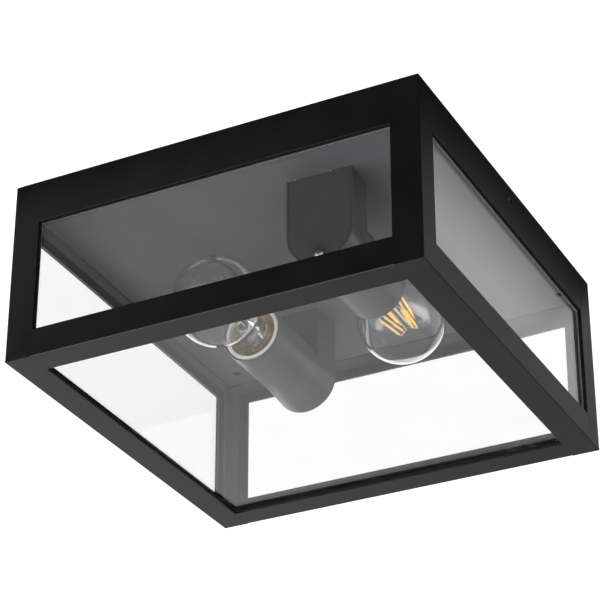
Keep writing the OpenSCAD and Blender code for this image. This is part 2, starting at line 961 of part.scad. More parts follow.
module bulb_filaments_left() {
    bulb_filaments("left");
}

module bulb_filaments_right() {
    bulb_filaments("right");
}

// Spokes from the bead to the upper ends, and from the rod to the lower ends.
module filament_wires(side) {
    low_z = filament_low - wire_gap - wire_r;
    high_z = filament_high + wire_gap + wire_r;
    color("#c9c9c6")
    place_bulb(side)
        each_pair() {
            translate([bead_r + 0.1, 0, high_z])
                rotate([0, 90, 0])
                    cylinder(r = wire_r, h = filament_r_high - bead_r, $fn = 16);
            translate([rod_r + 0.2, 0, low_z])
                rotate([0, 90, 0])
                    cylinder(r = wire_r, h = filament_r_low - rod_r - 0.2, $fn = 16);
        }
}

module filament_wires_left() {
    filament_wires("left");
}

module filament_wires_right() {
    filament_wires("right");
}

// ---------------------------------------------------------------- frame

// Angle of two equal legs with a rounded outer corner at the origin.
module angle_section(leg, t, r) {
    difference() {
        square(leg);
        translate([t, t])
            square(leg);
        difference() {
            square(r);
            translate([r, r])
                circle(r = r);
        }
    }
}

// Corner post that stands on the border; its outer corner is at -X and -Y before the turn.
module corner_post(turn) {
    foot = frame_bottom + frame_sheet;
    color("#151315")
    rotate([0, 0, turn])
        translate([-half_w, -half_w, foot])
            linear_extrude(frame_top - foot)
                angle_section(post_w, frame_sheet, frame_bend);
}

module corner_post_front_left() {
    corner_post(0);
}

module corner_post_front_right() {
    corner_post(90);
}

module corner_post_back_right() {
    corner_post(180);
}

module corner_post_back_left() {
    corner_post(270);
}

// Top rail, drawn at the front and turned to its side.
module top_rail(turn, holed) {
    color("#151315")
    rotate([0, 0, turn])
        difference() {
            box([-window_half, -half_w, window_top], [window_half, frame_sheet - half_w, frame_top]);
            if (holed)
                translate([0, -half_w - cut, side_hole_z])
                    rotate([-90, 0, 0])
                        cylinder(d = side_hole_d, h = frame_sheet + 2 * cut);
        }
}

module top_rail_front() {
    top_rail(0, false);
}

module top_rail_right() {
    top_rail(90, true);
}

module top_rail_back() {
    top_rail(180, false);
}

module top_rail_left() {
    top_rail(270, true);
}

// Bottom rail with its border flange, drawn at the front and turned to its side.
module bottom_rail(turn, flange_half) {
    color("#151315")
    rotate([0, 0, turn]) {
        box([-window_half, -half_w, frame_bottom + frame_sheet],
            [window_half, frame_sheet - half_w, window_bottom]);
        translate([-flange_half, -half_w, frame_bottom])
            rotate([90, 0, 90])
                linear_extrude(2 * flange_half)
                    difference() {
                        square([border_w, frame_sheet]);
                        difference() {
                            square(frame_bend);
                            translate([frame_bend, frame_bend])
                                circle(r = frame_bend);
                        }
                    }
    }
}

module bottom_rail_front() {
    bottom_rail(0, opening_half);
}

module bottom_rail_right() {
    bottom_rail(90, half_w);
}

module bottom_rail_back() {
    bottom_rail(180, opening_half);
}

module bottom_rail_left() {
    bottom_rail(270, half_w);
}

// ---------------------------------------------------------------- glazing

// Side pane, drawn at the front and turned to its side.
module side_pane(turn, pane_half) {
    color("#dfe8ea", 0.35)
    rotate([0, 0, turn])
        box([-pane_half, -glass_out, pane_foot], [pane_half, -glass_in, pane_head]);
}

module pane_front() {
    side_pane(0, wide_pane_half);
}

module pane_right() {
    side_pane(90, narrow_pane_half);
}

module pane_back() {
    side_pane(180, wide_pane_half);
}

module pane_left() {
    side_pane(270, narrow_pane_half);
}

module pane_bottom() {
    color("#dfe8ea", 0.35)
    box([-bottom_pane_half, -bottom_pane_half, bed_z],
        [bottom_pane_half, bottom_pane_half, bed_z + glass_t]);
}

// Five rings of tape: one behind each window, and one on the border.
module glazing_tapes() {
    in_x = window_half - tape_show;
    out_x = min(in_x + tape_w, narrow_pane_half);
    in_low = window_bottom + tape_show;
    out_low = max(in_low - tape_w, pane_foot);
    in_high = window_top - tape_show;
    out_high = min(in_high + tape_w, pane_head);
    in_border = opening_half - tape_show_below;
    out_border = min(in_border + tape_w, bottom_pane_half);
    color("#101011") {
        for (turn = [0:90:270])
            rotate([0, 0, turn])
                difference() {
                    box([-out_x, -glass_out - tape_t, out_low], [out_x, -glass_out, out_high]);
                    box([-in_x, -glass_out - tape_t - cut, in_low], [in_x, cut - glass_out, in_high]);
                }
        difference() {
            box([-out_border, -out_border, bed_z - tape_t], [out_border, out_border, bed_z]);
            box([-in_border, -in_border, bed_z - tape_t - cut],
                [in_border, in_border, bed_z + cut]);
        }
    }
}

// ---------------------------------------------------------------- nodes

base_pan();
ceiling_gasket();
side_rivet_nuts();
terminal_block();
terminal_screws();
terminal_block_screws();
earth_stud();
earth_lead();
live_leads();
neutral_leads();
lead_grommets();
housing_screws();
bracket_screws();
end_plate_screws();
holder_nipples();
holder_housing_left();
holder_housing_right();
end_plate_left();
end_plate_right();
holder_bracket_left();
holder_bracket_right();
lampholder_left();
lampholder_right();
thread_shell_left();
thread_shell_right();
centre_contact_left();
centre_contact_right();
bulb_glass_left();
bulb_glass_right();
bulb_cap_left();
bulb_cap_right();
cap_insulator_left();
cap_insulator_right();
cap_contact_left();
cap_contact_right();
bulb_stem_left();
bulb_stem_right();
bulb_filaments_left();
bulb_filaments_right();
filament_wires_left();
filament_wires_right();
corner_post_front_left();
corner_post_front_right();
corner_post_back_left();
corner_post_back_right();
top_rail_front();
top_rail_back();
top_rail_left();
top_rail_right();
bottom_rail_front();
bottom_rail_back();
bottom_rail_left();
bottom_rail_right();
pane_front();
pane_back();
pane_left();
pane_right();
pane_bottom();
glazing_tapes();
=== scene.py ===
import json
import math

import bmesh
import bpy
from mathutils import Matrix, Vector
from mathutils.bvhtree import BVHTree


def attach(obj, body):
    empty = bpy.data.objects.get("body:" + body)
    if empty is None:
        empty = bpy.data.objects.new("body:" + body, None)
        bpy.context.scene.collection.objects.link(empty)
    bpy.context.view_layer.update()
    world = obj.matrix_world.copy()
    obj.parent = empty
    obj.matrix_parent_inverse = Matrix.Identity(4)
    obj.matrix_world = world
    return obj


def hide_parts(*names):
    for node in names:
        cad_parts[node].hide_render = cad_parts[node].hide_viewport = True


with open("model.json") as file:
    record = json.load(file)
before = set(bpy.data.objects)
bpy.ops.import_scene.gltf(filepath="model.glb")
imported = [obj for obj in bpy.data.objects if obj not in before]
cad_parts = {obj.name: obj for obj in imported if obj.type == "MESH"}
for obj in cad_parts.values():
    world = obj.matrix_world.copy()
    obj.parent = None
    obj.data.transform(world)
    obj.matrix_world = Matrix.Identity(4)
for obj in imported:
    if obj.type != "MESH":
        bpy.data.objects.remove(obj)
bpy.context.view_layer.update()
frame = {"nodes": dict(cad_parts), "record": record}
nodes = frame["nodes"]
print("stage: frame loaded,", len(nodes), "nodes")

mm = 0.001
sides = ["left", "right"]


class Signal:
    # one output of a node tree, so that maths on it reads as plain Python
    def __init__(self, graph, socket):
        self.graph = graph
        self.socket = socket

    def math(self, operation, first, second=0.0):
        return self.graph.node("ShaderNodeMath", {"operation": operation}, {0: first, 1: second})

    def __add__(self, other):
        return self.math("ADD", self, other)

    def __sub__(self, other):
        return self.math("SUBTRACT", self, other)

    def __mul__(self, other):
        return self.math("MULTIPLY", self, other)

    def __radd__(self, other):
        return self.math("ADD", other, self)

    def __rsub__(self, other):
        return self.math("SUBTRACT", other, self)

    def __rmul__(self, other):
        return self.math("MULTIPLY", other, self)

    def above(self, edge):
        return self.math("GREATER_THAN", self, edge)

    def under(self, other):
        return self.math("MINIMUM", self, other)

    def over(self, other):
        return self.math("MAXIMUM", self, other)

    def power(self, exponent):
        return self.math("POWER", self, exponent)

    def size(self):
        return self.math("ABSOLUTE", self)

    def swing(self, width):
        return (self - 0.5) * width    # a noise as a change up and down from its middle

    def ramp(self, low, high, lowValue=0.0, highValue=1.0):
        return self.graph.node("ShaderNodeMapRange", {"interpolation_type": "SMOOTHSTEP"}, {
            "Value": self, "From Min": low, "From Max": high,
            "To Min": lowValue, "To Max": highValue})


class Graph:
    # a shader or geometry tree; node() is the one way in which nodes are made
    def __init__(self, tree):
        self.tree = tree

    def node(self, kind, settings=None, sockets=None, out=0):
        made = self.tree.nodes.new(kind)
        for key, value in (settings or {}).items():
            setattr(made, key, value)
        for key, value in (sockets or {}).items():
            if isinstance(value, Signal):
                self.tree.links.new(value.socket, made.inputs[key])
            elif value is not None:
                made.inputs[key].default_value = value
        return Signal(self, made.outputs[out]) if len(made.outputs) else None

    def place(self):
        return self.node("ShaderNodeTexCoord", out="Object")

    def axes(self, place):
        split = self.node("ShaderNodeSeparateXYZ", {}, {0: place})
        return [Signal(self, split.socket.node.outputs[k]) for k in range(3)]

    def noise(self, scale, detail, roughness, place):
        return self.node("ShaderNodeTexNoise", {}, {
            "Vector": place, "Scale": scale, "Detail": detail, "Roughness": roughness})

    def blend(self, share, first, second):
        colours = {"Factor": share, 6: first, 7: second}    # 6 and 7 are the two colour sockets
        return self.node("ShaderNodeMix", {"data_type": "RGBA"}, colours, out=2)

    def bump(self, height, strength, distance, normal=None):
        return self.node("ShaderNodeBump", {}, {
            "Height": height, "Strength": strength, "Distance": distance, "Normal": normal})

    def principled(self, sockets):
        return self.node("ShaderNodeBsdfPrincipled", {}, sockets)

    def choose(self, share, first, second):
        return self.node("ShaderNodeMixShader", {}, {0: share, 1: first, 2: second})

    def rays(self, name):
        return self.node("ShaderNodeLightPath", out=name)

    def finish(self, surface, kind="ShaderNodeOutputMaterial"):
        self.node(kind, {}, {"Surface": surface})


def newMaterial(name):
    material = bpy.data.materials.new(name)
    material.use_nodes = True
    material.node_tree.nodes.clear()
    return material, Graph(material.node_tree)


def grey(value):
    return (value, value, value, 1.0)


def innerPaintedLight(paint, place, look):
    # painted light: the faces that look into the lantern catch more light than the outside, so they
    # are given a paler tone
    x, y, z = paint.axes(place)
    inside = 1.0 - x.size().over(y.size()).above(look["skin"])
    return inside * z.above(look["innerFoot"])


coatTexture = {
    # detail and roughness of each noise, then where a mask made from it starts and ends
    "peel": (3.0, 0.55), "clouds": (3.0, 0.6), "grain": (2.0, 0.7), "specks": (1.0, 0.5),
    "cloudEdges": (0.35, 0.7), "speckEdges": (0.74, 0.80), "dustTone": 0.35,
    "peelDepth": 0.2 * mm, "grainDepth": 0.1 * mm,
}


def powderCoat(name, look):
    # satin black powder coat: fine orange peel, faint clouds of sheen, a few specks of dust
    material, paint = newMaterial(name)
    place = paint.place()
    peel = paint.noise(look["peelScale"], *coatTexture["peel"], place)
    clouds = paint.noise(look["cloudScale"], *coatTexture["clouds"], place)
    grain = paint.noise(look["grainScale"], *coatTexture["grain"], place)
    specks = paint.noise(look["speckScale"], *coatTexture["specks"], place)
    tone = paint.blend(clouds.ramp(*coatTexture["cloudEdges"]), look["dark"], look["light"])
    # painted light: the faces inside the lantern take the paler inner tone
    if "inner" in look:
        tone = paint.blend(innerPaintedLight(paint, place, look), tone, look["inner"])
    dust = specks.ramp(*coatTexture["speckEdges"]) * look["dust"]
    grainBump = paint.bump(grain, look["grain"], coatTexture["grainDepth"])
    sheen = clouds.swing(look["cloudSheen"]) + grain.swing(look["grainSheen"])
    paint.finish(paint.principled({
        "Base Color": paint.blend(dust, tone, grey(coatTexture["dustTone"])),
        "Roughness": sheen + look["roughness"],
        "Specular IOR Level": look["specular"],
        "Normal": paint.bump(peel, look["peel"], coatTexture["peelDepth"], grainBump),
    }))
    return material


glassTexture = {"smears": (4.0, 0.6), "smearEdges": (0.45, 0.8)}


def clearGlass(name, look):
    # real refraction for the eye, and a plain way through for lamplight
    material, paint = newMaterial(name)
    smears = paint.noise(look["smearScale"], *glassTexture["smears"], paint.place())
    surface = paint.principled({
        "Base Color": paint.blend(
            smears.ramp(*glassTexture["smearEdges"]), look["tint"], look["smear"]),
        "Roughness": 0.0,
        "IOR": look["ior"],
        "Transmission Weight": 1.0,
    })
    through = paint.node("ShaderNodeBsdfTransparent", {}, {"Color": look["shade"]})
    paint.finish(paint.choose(paint.rays("Is Shadow Ray"), surface, through))
    return material


metalTexture = {
    "grain": (3.0, 0.6), "clouds": (3.0, 0.55), "cloudEdges": (0.3, 0.75), "grainSheen": 0.12,
    "grainDepth": 0.05 * mm,
}


def metal(name, look):
    # plated or bare metal with a fine grain and cloudy sheen
    material, paint = newMaterial(name)
    place = paint.place()
    grain = paint.noise(look["grainScale"], *metalTexture["grain"], place)
    clouds = paint.noise(look["cloudScale"], *metalTexture["clouds"], place)
    sheen = clouds.swing(look["cloudSheen"]) + grain.swing(metalTexture["grainSheen"])
    paint.finish(paint.principled({
        "Base Color": paint.blend(
            clouds.ramp(*metalTexture["cloudEdges"]), look["dark"], look["light"]),
        "Metallic": 1.0,
        "Roughness": sheen + look["roughness"],
        "Normal": paint.bump(grain, look["grain"], metalTexture["grainDepth"]),
    }))
    return material


mouldedTexture = {
    "clouds": (3.0, 0.6), "grain": (2.0, 0.6), "cloudEdges": (0.3, 0.75), "coatRoughness": 0.08,
    "grainDepth": 0.1 * mm,
}


def moulded(name, look):
    # rubber, foam, plastic or porcelain: colour clouds, pores or glaze ripple, even gloss
    material, paint = newMaterial(name)
    place = paint.place()
    clouds = paint.noise(look["cloudScale"], *mouldedTexture["clouds"], place)
    grain = paint.noise(look["grainScale"], *mouldedTexture["grain"], place)
    tone = paint.blend(clouds.ramp(*mouldedTexture["cloudEdges"]), look["dark"], look["light"])
    # painted light: the faces inside the lantern take the paler inner tone
    if "inner" in look:
        tone = paint.blend(innerPaintedLight(paint, place, look), tone, look["inner"])
    if "bore" in look:
        # the porcelain wall in front of the brass thread shell is painted a brass tone
        x, y, z = paint.axes(place)
        reach = (x.size() - look["axisX"]).power(2.0) + (z - look["axisZ"]).power(2.0)
        tone = paint.blend(1.0 - reach.above(look["bore"] ** 2), tone, look["boreTone"])
    paint.finish(paint.principled({
        "Base Color": tone,
        "Roughness": grain.swing(look["grainSheen"]) + look["roughness"],
        "Specular IOR Level": look.get("specular", 0.5),
        "Coat Weight": look.get("coat", 0.0),
        "Coat Roughness": mouldedTexture["coatRoughness"],
        "Normal": paint.bump(grain, look["grain"], mouldedTexture["grainDepth"]),
    }))
    return material


def phosphor(name, look):
    # silicone full of yellow phosphor; its emission is a painted glow
    material, paint = newMaterial(name)
    clouds = paint.noise(look["cloudScale"], *look["clouds"], paint.place())
    tone = paint.blend(clouds.ramp(*look["cloudEdges"]), look["dark"], look["light"])
    paint.finish(paint.principled({
        "Base Color": tone,
        "Roughness": clouds.swing(look["cloudSheen"]) + look["roughness"],
        # painted glow: the filament emits its own tone
        "Emission Color": tone,
        "Emission Strength": look["glow"],
        "Normal": paint.bump(clouds, look["grain"], look["grainDepth"]),
    }))
    return material


paints = {
    "frame": powderCoat("satinBlackFrame", {
        "dark": (0.0028, 0.0023, 0.0027, 1), "light": (0.0042, 0.0035, 0.0040, 1),
        "roughness": 0.34, "specular": 0.44, "cloudScale": 24.0, "cloudSheen": 0.10,
        "peelScale": 900.0, "peel": 0.10, "grainScale": 3200.0, "grain": 0.12,
        "grainSheen": 0.10, "speckScale": 1400.0, "dust": 0.25,
        # painted light: a paler tone on the frame's inner faces
        "inner": (0.125, 0.128, 0.140, 1), "skin": 148.85 * mm, "innerFoot": -133 * mm,
    }),
    # painted light: a far paler copy of the frame's satin black paint, standing in for the light
    # that falls on the pan
    "pan": powderCoat("blackPanPaintedPaler", {
        "dark": (0.118, 0.117, 0.122, 1), "light": (0.138, 0.137, 0.143, 1),
        "roughness": 0.44, "specular": 0.5, "cloudScale": 14.0, "cloudSheen": 0.08,
        "peelScale": 500.0, "peel": 0.012, "grainScale": 2600.0, "grain": 0.012,
        "grainSheen": 0.05, "speckScale": 1200.0, "dust": 0.06,
    }),
    # painted light: a paler copy of the frame's satin black paint, standing in for the light on the
    # housings
    "housing": powderCoat("blackHousingPaintedPaler", {
        "dark": (0.066, 0.065, 0.067, 1), "light": (0.082, 0.081, 0.083, 1),
        "roughness": 0.36, "specular": 0.5, "cloudScale": 30.0, "cloudSheen": 0.08,
        "peelScale": 1000.0, "peel": 0.03, "grainScale": 3000.0, "grain": 0.03,
        "grainSheen": 0.06, "speckScale": 1300.0, "dust": 0.12,
    }),
}
glasses = {
    "pane": clearGlass("paneGlass", {
        "tint": (0.986, 0.987, 0.988, 1), "smear": (0.974, 0.975, 0.976, 1),
        "smearScale": 26.0, "shade": (0.90, 0.91, 0.912, 1), "ior": 1.5,
    }),
    "bulb": clearGlass("bulbGlass", {
        "tint": (0.992, 0.994, 0.995, 1), "smear": (0.982, 0.984, 0.985, 1),
        "smearScale": 60.0, "shade": (0.94, 0.95, 0.95, 1), "ior": 1.5,
    }),
}
metals = {
    "zinc": metal("zincPlate", {
        "dark": (0.50, 0.50, 0.49, 1), "light": (0.68, 0.68, 0.66, 1), "roughness": 0.30,
        "cloudSheen": 0.25, "cloudScale": 260.0, "grainScale": 5200.0, "grain": 0.15,
    }),
    "bright": metal("brightScrew", {
        "dark": (0.30, 0.30, 0.30, 1), "light": (0.42, 0.42, 0.41, 1), "roughness": 0.24,
        "cloudSheen": 0.15, "cloudScale": 400.0, "grainScale": 6000.0, "grain": 0.10,
    }),
    "brass": metal("brassStrip", {
        "dark": (0.72, 0.52, 0.22, 1), "light": (0.92, 0.74, 0.40, 1), "roughness": 0.26,
        "cloudSheen": 0.2, "cloudScale": 300.0, "grainScale": 5200.0, "grain": 0.12,
    }),
    "cap": metal("bulbCapMetal", {
        "dark": (0.60, 0.58, 0.54, 1), "light": (0.80, 0.79, 0.75, 1), "roughness": 0.24,
        "cloudSheen": 0.18, "cloudScale": 350.0, "grainScale": 6000.0, "grain": 0.10,
    }),
}
soft = {
    "tape": moulded("blackGlazingTape", {
        "dark": (0.002, 0.002, 0.002, 1), "light": (0.004, 0.004, 0.004, 1),
        "roughness": 0.7, "specular": 0.15, "grainSheen": 0.2, "cloudScale": 90.0,
        "grainScale": 2400.0, "grain": 0.25,
        # painted light: a paler tone on the tape's inner faces
        "inner": (0.115, 0.118, 0.130, 1), "skin": 147.6 * mm, "innerFoot": -133 * mm,
    }),
    "foam": moulded("blackFoam", {
        "dark": (0.008, 0.008, 0.008, 1), "light": (0.022, 0.022, 0.022, 1),
        "roughness": 0.9, "specular": 0.2, "grainSheen": 0.15, "cloudScale": 500.0,
        "grainScale": 1500.0, "grain": 0.8,
    }),
    "insulator": moulded("blackCapGlass", {
        "dark": (0.006, 0.006, 0.007, 1), "light": (0.014, 0.013, 0.015, 1),
        "roughness": 0.18, "grainSheen": 0.1, "cloudScale": 300.0, "grainScale": 1800.0,
        "grain": 0.1,
    }),
    "block": moulded("naturalPolyamide", {
        "dark": (0.66, 0.64, 0.58, 1), "light": (0.76, 0.745, 0.69, 1),
        "roughness": 0.46, "grainSheen": 0.15, "cloudScale": 150.0, "grainScale": 2200.0,
        "grain": 0.2,
    }),
    "wire": moulded("whiteSupportWire", {
        "dark": (0.82, 0.81, 0.79, 1), "light": (0.94, 0.93, 0.91, 1),
        "roughness": 0.3, "coat": 0.4, "grainSheen": 0.1, "cloudScale": 900.0,
        "grainScale": 9000.0, "grain": 0.05,
    }),
    "filament": phosphor("yellowPhosphor", {
        # glow is the strength of the painted glow
        "dark": (0.90, 0.50, 0.11, 1), "light": (1.0, 0.70, 0.24, 1), "glow": 0.55,
        "cloudScale": 700.0, "clouds": (3.0, 0.6), "cloudEdges": (0.35, 0.7),
        "roughness": 0.42, "cloudSheen": 0.2, "grain": 0.3, "grainDepth": 0.1 * mm,
    }),
}
print("stage: materials")


def newPiece(name, mesh, material):
    piece = bpy.data.objects.new(name, mesh)
    bpy.context.scene.collection.objects.link(piece)
    piece.data.materials.clear()
    piece.data.materials.append(material)
    return piece


def slotOf(nodeName):
    return next(s["material_slot"] for s in frame["record"]["subparts"] if s["node"] == nodeName)


def bodyOf(nodeName):
    bodies = frame["record"]["behaviour"]["bodies"]
    return next(body for body, names in bodies.items() if nodeName in names)


def settle(piece, nodeName):
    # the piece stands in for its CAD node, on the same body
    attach(piece, bodyOf(nodeName))
    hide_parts(nodeName)
    slotOf(nodeName)


def camel(nodeName):
    head, *rest = nodeName.split("_")
    return head + "".join(word.capitalize() for word in rest)


def applyModifiers(piece):
    depsgraph = bpy.context.evaluated_depsgraph_get()
    mesh = bpy.data.meshes.new_from_object(piece.evaluated_get(depsgraph))
    piece.modifiers.clear()
    piece.data = mesh


easing = {
    "weld": 0.002 * mm, "cut": 0.001 * mm, "profile": 0.5,
    "flat": 0.4, "sharp": 38, "crease": 35, "sheetCrease": 50,    # degrees
}


def smooth(mesh, crease=easing["crease"]):
    mesh.shade_smooth()
    mesh.set_sharp_from_angle(angle=math.radians(crease))


def softenedCopy(nodeName, material, width, segments=2, seams=None):
    # a copy of the solid with its flat faces made whole and its sharp edges eased
    mesh = nodes[nodeName].data.copy()
    shell = bmesh.new()
    shell.from_mesh(mesh)
    bmesh.ops.remove_doubles(shell, verts=shell.verts, dist=easing["weld"])
    bmesh.ops.dissolve_limit(
        shell, angle_limit=math.radians(easing["flat"]), verts=shell.verts, edges=shell.edges)
    cuts = seams["cuts"] if seams else []
    for point, normal in cuts:
        bmesh.ops.bisect_plane(
            shell, geom=list(shell.verts) + list(shell.edges) + list(shell.faces),
            dist=easing["cut"], plane_co=point, plane_no=normal)
    sharpAngle = math.radians(easing["sharp"])
    sharp = [edge for edge in shell.edges
             if len(edge.link_faces) == 2 and edge.calc_face_angle(0.0) > sharpAngle]
    if seams:
        # edges that butt against a neighbour are welded flush, so they stay as they are
        sharp = [edge for edge in sharp
                 if not seams["welded"](nodeName, (edge.verts[0].co + edge.verts[1].co) / 2)]
    if sharp:
        bmesh.ops.bevel(
            shell, geom=sharp, offset=width, offset_type="OFFSET", segments=segments,
            profile=easing["profile"], affect="EDGES", clamp_overlap=True)
    shell.to_mesh(mesh)
    shell.free()
    piece = newPiece(camel(nodeName), mesh, material)
    smooth(piece.data, easing["sheetCrease"])
    weighting = piece.modifiers.new("flatFaces", "WEIGHTED_NORMAL")
    weighting.keep_sharp = True
    applyModifiers(piece)
    settle(piece, nodeName)


def lathe(name, outline, place, material, segments, helix=None):
    # turns a closed outline of (radius, height) points about Z; helix may shift the radii
    shell = bmesh.new()
    rings = []
    for radius, height in outline:
        if radius == 0.0:
            rings.append([shell.verts.new((0, 0, height))] * segments)    # a closed pole
            continue
        ring = []
        for k in range(segments):
            turn = 2 * math.pi * k / segments
            r = radius + (helix(radius, height, turn) if helix else 0.0)
            ring.append(shell.verts.new((r * math.cos(turn), r * math.sin(turn), height)))
        rings.append(ring)
    for lower, upper in zip(rings, rings[1:] + rings[:1]):
        for k in range(segments):
            corners = [lower[k], lower[(k + 1) % segments], upper[(k + 1) % segments], upper[k]]
            corners = list(dict.fromkeys(corners))
            if len(corners) > 2:
                shell.faces.new(corners)
    bmesh.ops.recalc_face_normals(shell, faces=shell.faces)
    mesh = bpy.data.meshes.new(name)
    shell.to_mesh(mesh)
    shell.free()
    mesh.transform(place)
    smooth(mesh)
    return newPiece(name, mesh, material)


def rounded(outline, radii, steps=5, sideShare=0.45):
    # replaces each corner that has a radius by an arc, which takes up to sideShare of a side
    made = []
    count = len(outline)
    for k, corner in enumerate(outline):
        here = Vector(corner)
        if k not in radii:
            made.append((here.x, here.y))
            continue
        back = Vector(outline[k - 1]) - here
        ahead = Vector(outline[(k + 1) % count]) - here
        reach = min(radii[k], sideShare * back.length, sideShare * ahead.length)
        first = here + back.normalized() * reach
        last = here + ahead.normalized() * reach
        for step in range(steps + 1):
            t = step / steps
            point = first * (1 - t) ** 2 + here * 2 * t * (1 - t) + last * t ** 2
            made.append((point.x, point.y))
    return made


edges = {
    # width of the eased edges
    "frame": 0.15 * mm, "pane": 0.45 * mm, "tape": 0.25 * mm, "pan": 0.3 * mm,
    "gasket": 0.35 * mm, "sheet": 0.3 * mm, "screw": 0.14 * mm, "nut": 0.25 * mm,
    "block": 0.25 * mm, "sleeve": 0.05 * mm,
}
window = {
    "top": -34 * mm, "bottom": -117 * mm, "half": 130 * mm, "underside": -137 * mm,
    "buttJoint": 0.1 * mm, "weldGap": 0.02 * mm,
}
posts = ["front_left", "front_right", "back_left", "back_right"]
rails = ["front", "back", "left", "right"]
frameNodes = ["corner_post_" + post for post in posts]
frameNodes += [place + rail for place in ("top_rail_", "bottom_rail_") for rail in rails]


def surfaceOf(nodeName):
    shell = bmesh.new()
    shell.from_mesh(nodes[nodeName].data)
    tree = BVHTree.FromBMesh(shell)
    shell.free()
    return tree


frameSurfaces = {nodeName: surfaceOf(nodeName) for nodeName in frameNodes}


def isWelded(nodeName, point):
    if point.z < window["underside"] + window["buttJoint"]:
        return False    # the butt joints of the underside stay visible as fine lines
    return any(surface.find_nearest(point, window["weldGap"])[0] is not None
               for other, surface in frameSurfaces.items() if other != nodeName)


# the frame's faces are cut along the windows' edges, so that each eased edge ends cleanly
seamCuts = [((0, 0, window[edge]), (0, 0, 1)) for edge in ("top", "bottom")]
seamCuts += [((sign * window["half"], 0, 0), (1, 0, 0)) for sign in (-1, 1)]
seamCuts += [((0, sign * window["half"], 0), (0, 1, 0)) for sign in (-1, 1)]
seams = {"cuts": seamCuts, "welded": isWelded}
for nodeName in frameNodes:
    softenedCopy(nodeName, paints["frame"], edges["frame"], seams=seams)
for pane in rails + ["bottom"]:
    softenedCopy("pane_" + pane, glasses["pane"], edges["pane"], 1)
softenedCopy("glazing_tapes", soft["tape"], edges["tape"], 1)
softenedCopy("base_pan", paints["pan"], edges["pan"])
softenedCopy("ceiling_gasket", soft["foam"], edges["gasket"])
print("stage: frame, panes and pan")


fixings = {
    "side_rivet_nuts": (metals["zinc"], edges["nut"]),
    "terminal_block": (soft["block"], edges["block"]),
    "terminal_screws": (metals["brass"], edges["screw"]),
    "terminal_block_screws": (metals["zinc"], edges["screw"]),
    "earth_stud": (metals["zinc"], edges["nut"]),
    "lead_grommets": (soft["tape"], edges["nut"]),
    "housing_screws": (metals["zinc"], edges["screw"]),
    "bracket_screws": (metals["zinc"], edges["screw"]),
    "end_plate_screws": (metals["bright"], edges["screw"]),
    "holder_nipples": (metals["zinc"], edges["nut"]),
}
pairs = {
    # one on each side
    "holder_bracket_": (metals["zinc"], edges["sheet"]),
    "centre_contact_": (metals["brass"], edges["screw"]),
    "cap_contact_": (metals["cap"], edges["screw"]),
    "cap_insulator_": (soft["insulator"], edges["screw"]),
    "end_plate_": (paints["housing"], edges["sheet"]),
    "holder_housing_": (paints["housing"], edges["sheet"]),
}
fixings.update({stem + side: finish for stem, finish in pairs.items() for side in sides})
for nodeName, (material, width) in fixings.items():
    softenedCopy(nodeName, material, width)

sleeve = {
    "roughness": 0.38, "grainSheen": 0.1, "cloudScale": 200.0, "grainScale": 3000.0, "grain": 0.1,
}
leads = {
    "live_leads": ("brownSleeve", (0.085, 0.036, 0.018, 1), (0.12, 0.052, 0.027, 1)),
    "neutral_leads": ("blueSleeve", (0.014, 0.052, 0.20, 1), (0.022, 0.075, 0.27, 1)),
    "earth_lead": ("greenSleeve", (0.075, 0.19, 0.02, 1), (0.12, 0.26, 0.03, 1)),
}
for nodeName, (name, dark, light) in leads.items():
    material = moulded(name, {**sleeve, "dark": dark, "light": light})
    softenedCopy(nodeName, material, edges["sleeve"], 1)
print("stage: fixings and wiring")


holder = {
    # where each housing's rear end lies under the pan, and its axis
    "x": 52 * mm, "back": 92.5 * mm, "axisZ": -60.5 * mm, "length": 85.2 * mm,
}


def holderPlace(side):
    turn = Matrix.Rotation(math.radians(180 if side == "left" else 0), 4, "Z")
    return turn @ Matrix.Translation((holder["x"], -holder["back"], 0))


def axisPlace(side):
    lying = Matrix.Rotation(math.radians(-90), 4, "X")    # Z runs out of the tube's mouth
    return holderPlace(side) @ Matrix.Translation((0, 0, holder["axisZ"])) @ lying


porcelain = moulded("whitePorcelain", {
    "dark": (0.80, 0.785, 0.74, 1), "light": (0.90, 0.885, 0.85, 1), "roughness": 0.25,
    "coat": 0.5, "grainSheen": 0.1, "cloudScale": 120.0, "grainScale": 700.0, "grain": 0.10,
    "bore": 17.9 * mm, "axisX": holder["x"], "axisZ": holder["axisZ"],
    "boreTone": (0.78, 0.60, 0.34, 1),
})
threadShell = {
    "radius": 14.0 * mm, "wall": 0.4 * mm, "length": 22 * mm, "wave": 0.22 * mm,
    "skin": 0.10 * mm, "runOut": 1.5 * mm, "pitch": 3.62 * mm, "steps": 72, "segments": 72,
}
lamp = {
    # heights run along the tube's axis from the housing's rear end
    "radius": 20.8 * mm, "rimWidth": 3.0 * mm, "mouthInset": 0.3 * mm, "back": 34.5 * mm,
    "tailRadius": 15.5 * mm, "tailLength": 3 * mm, "coneEnd": 8 * mm, "boreStep": 2 * mm,
    "floorBack": 44.5 * mm, "floorFront": 48.5 * mm, "chamberRadius": 12 * mm,
    "chamberLength": 5 * mm, "bore": 5.05 * mm, "pocketRadius": 14.5 * mm,
    "rivetBore": 1.55 * mm, "segments": 96,
    "radii": {1: 1 * mm, 2: 2 * mm, 3: 2 * mm, 4: 0.9 * mm, 5: 0.9 * mm, 6: 1 * mm,
              7: 0.5 * mm, 11: 0.8 * mm},
}


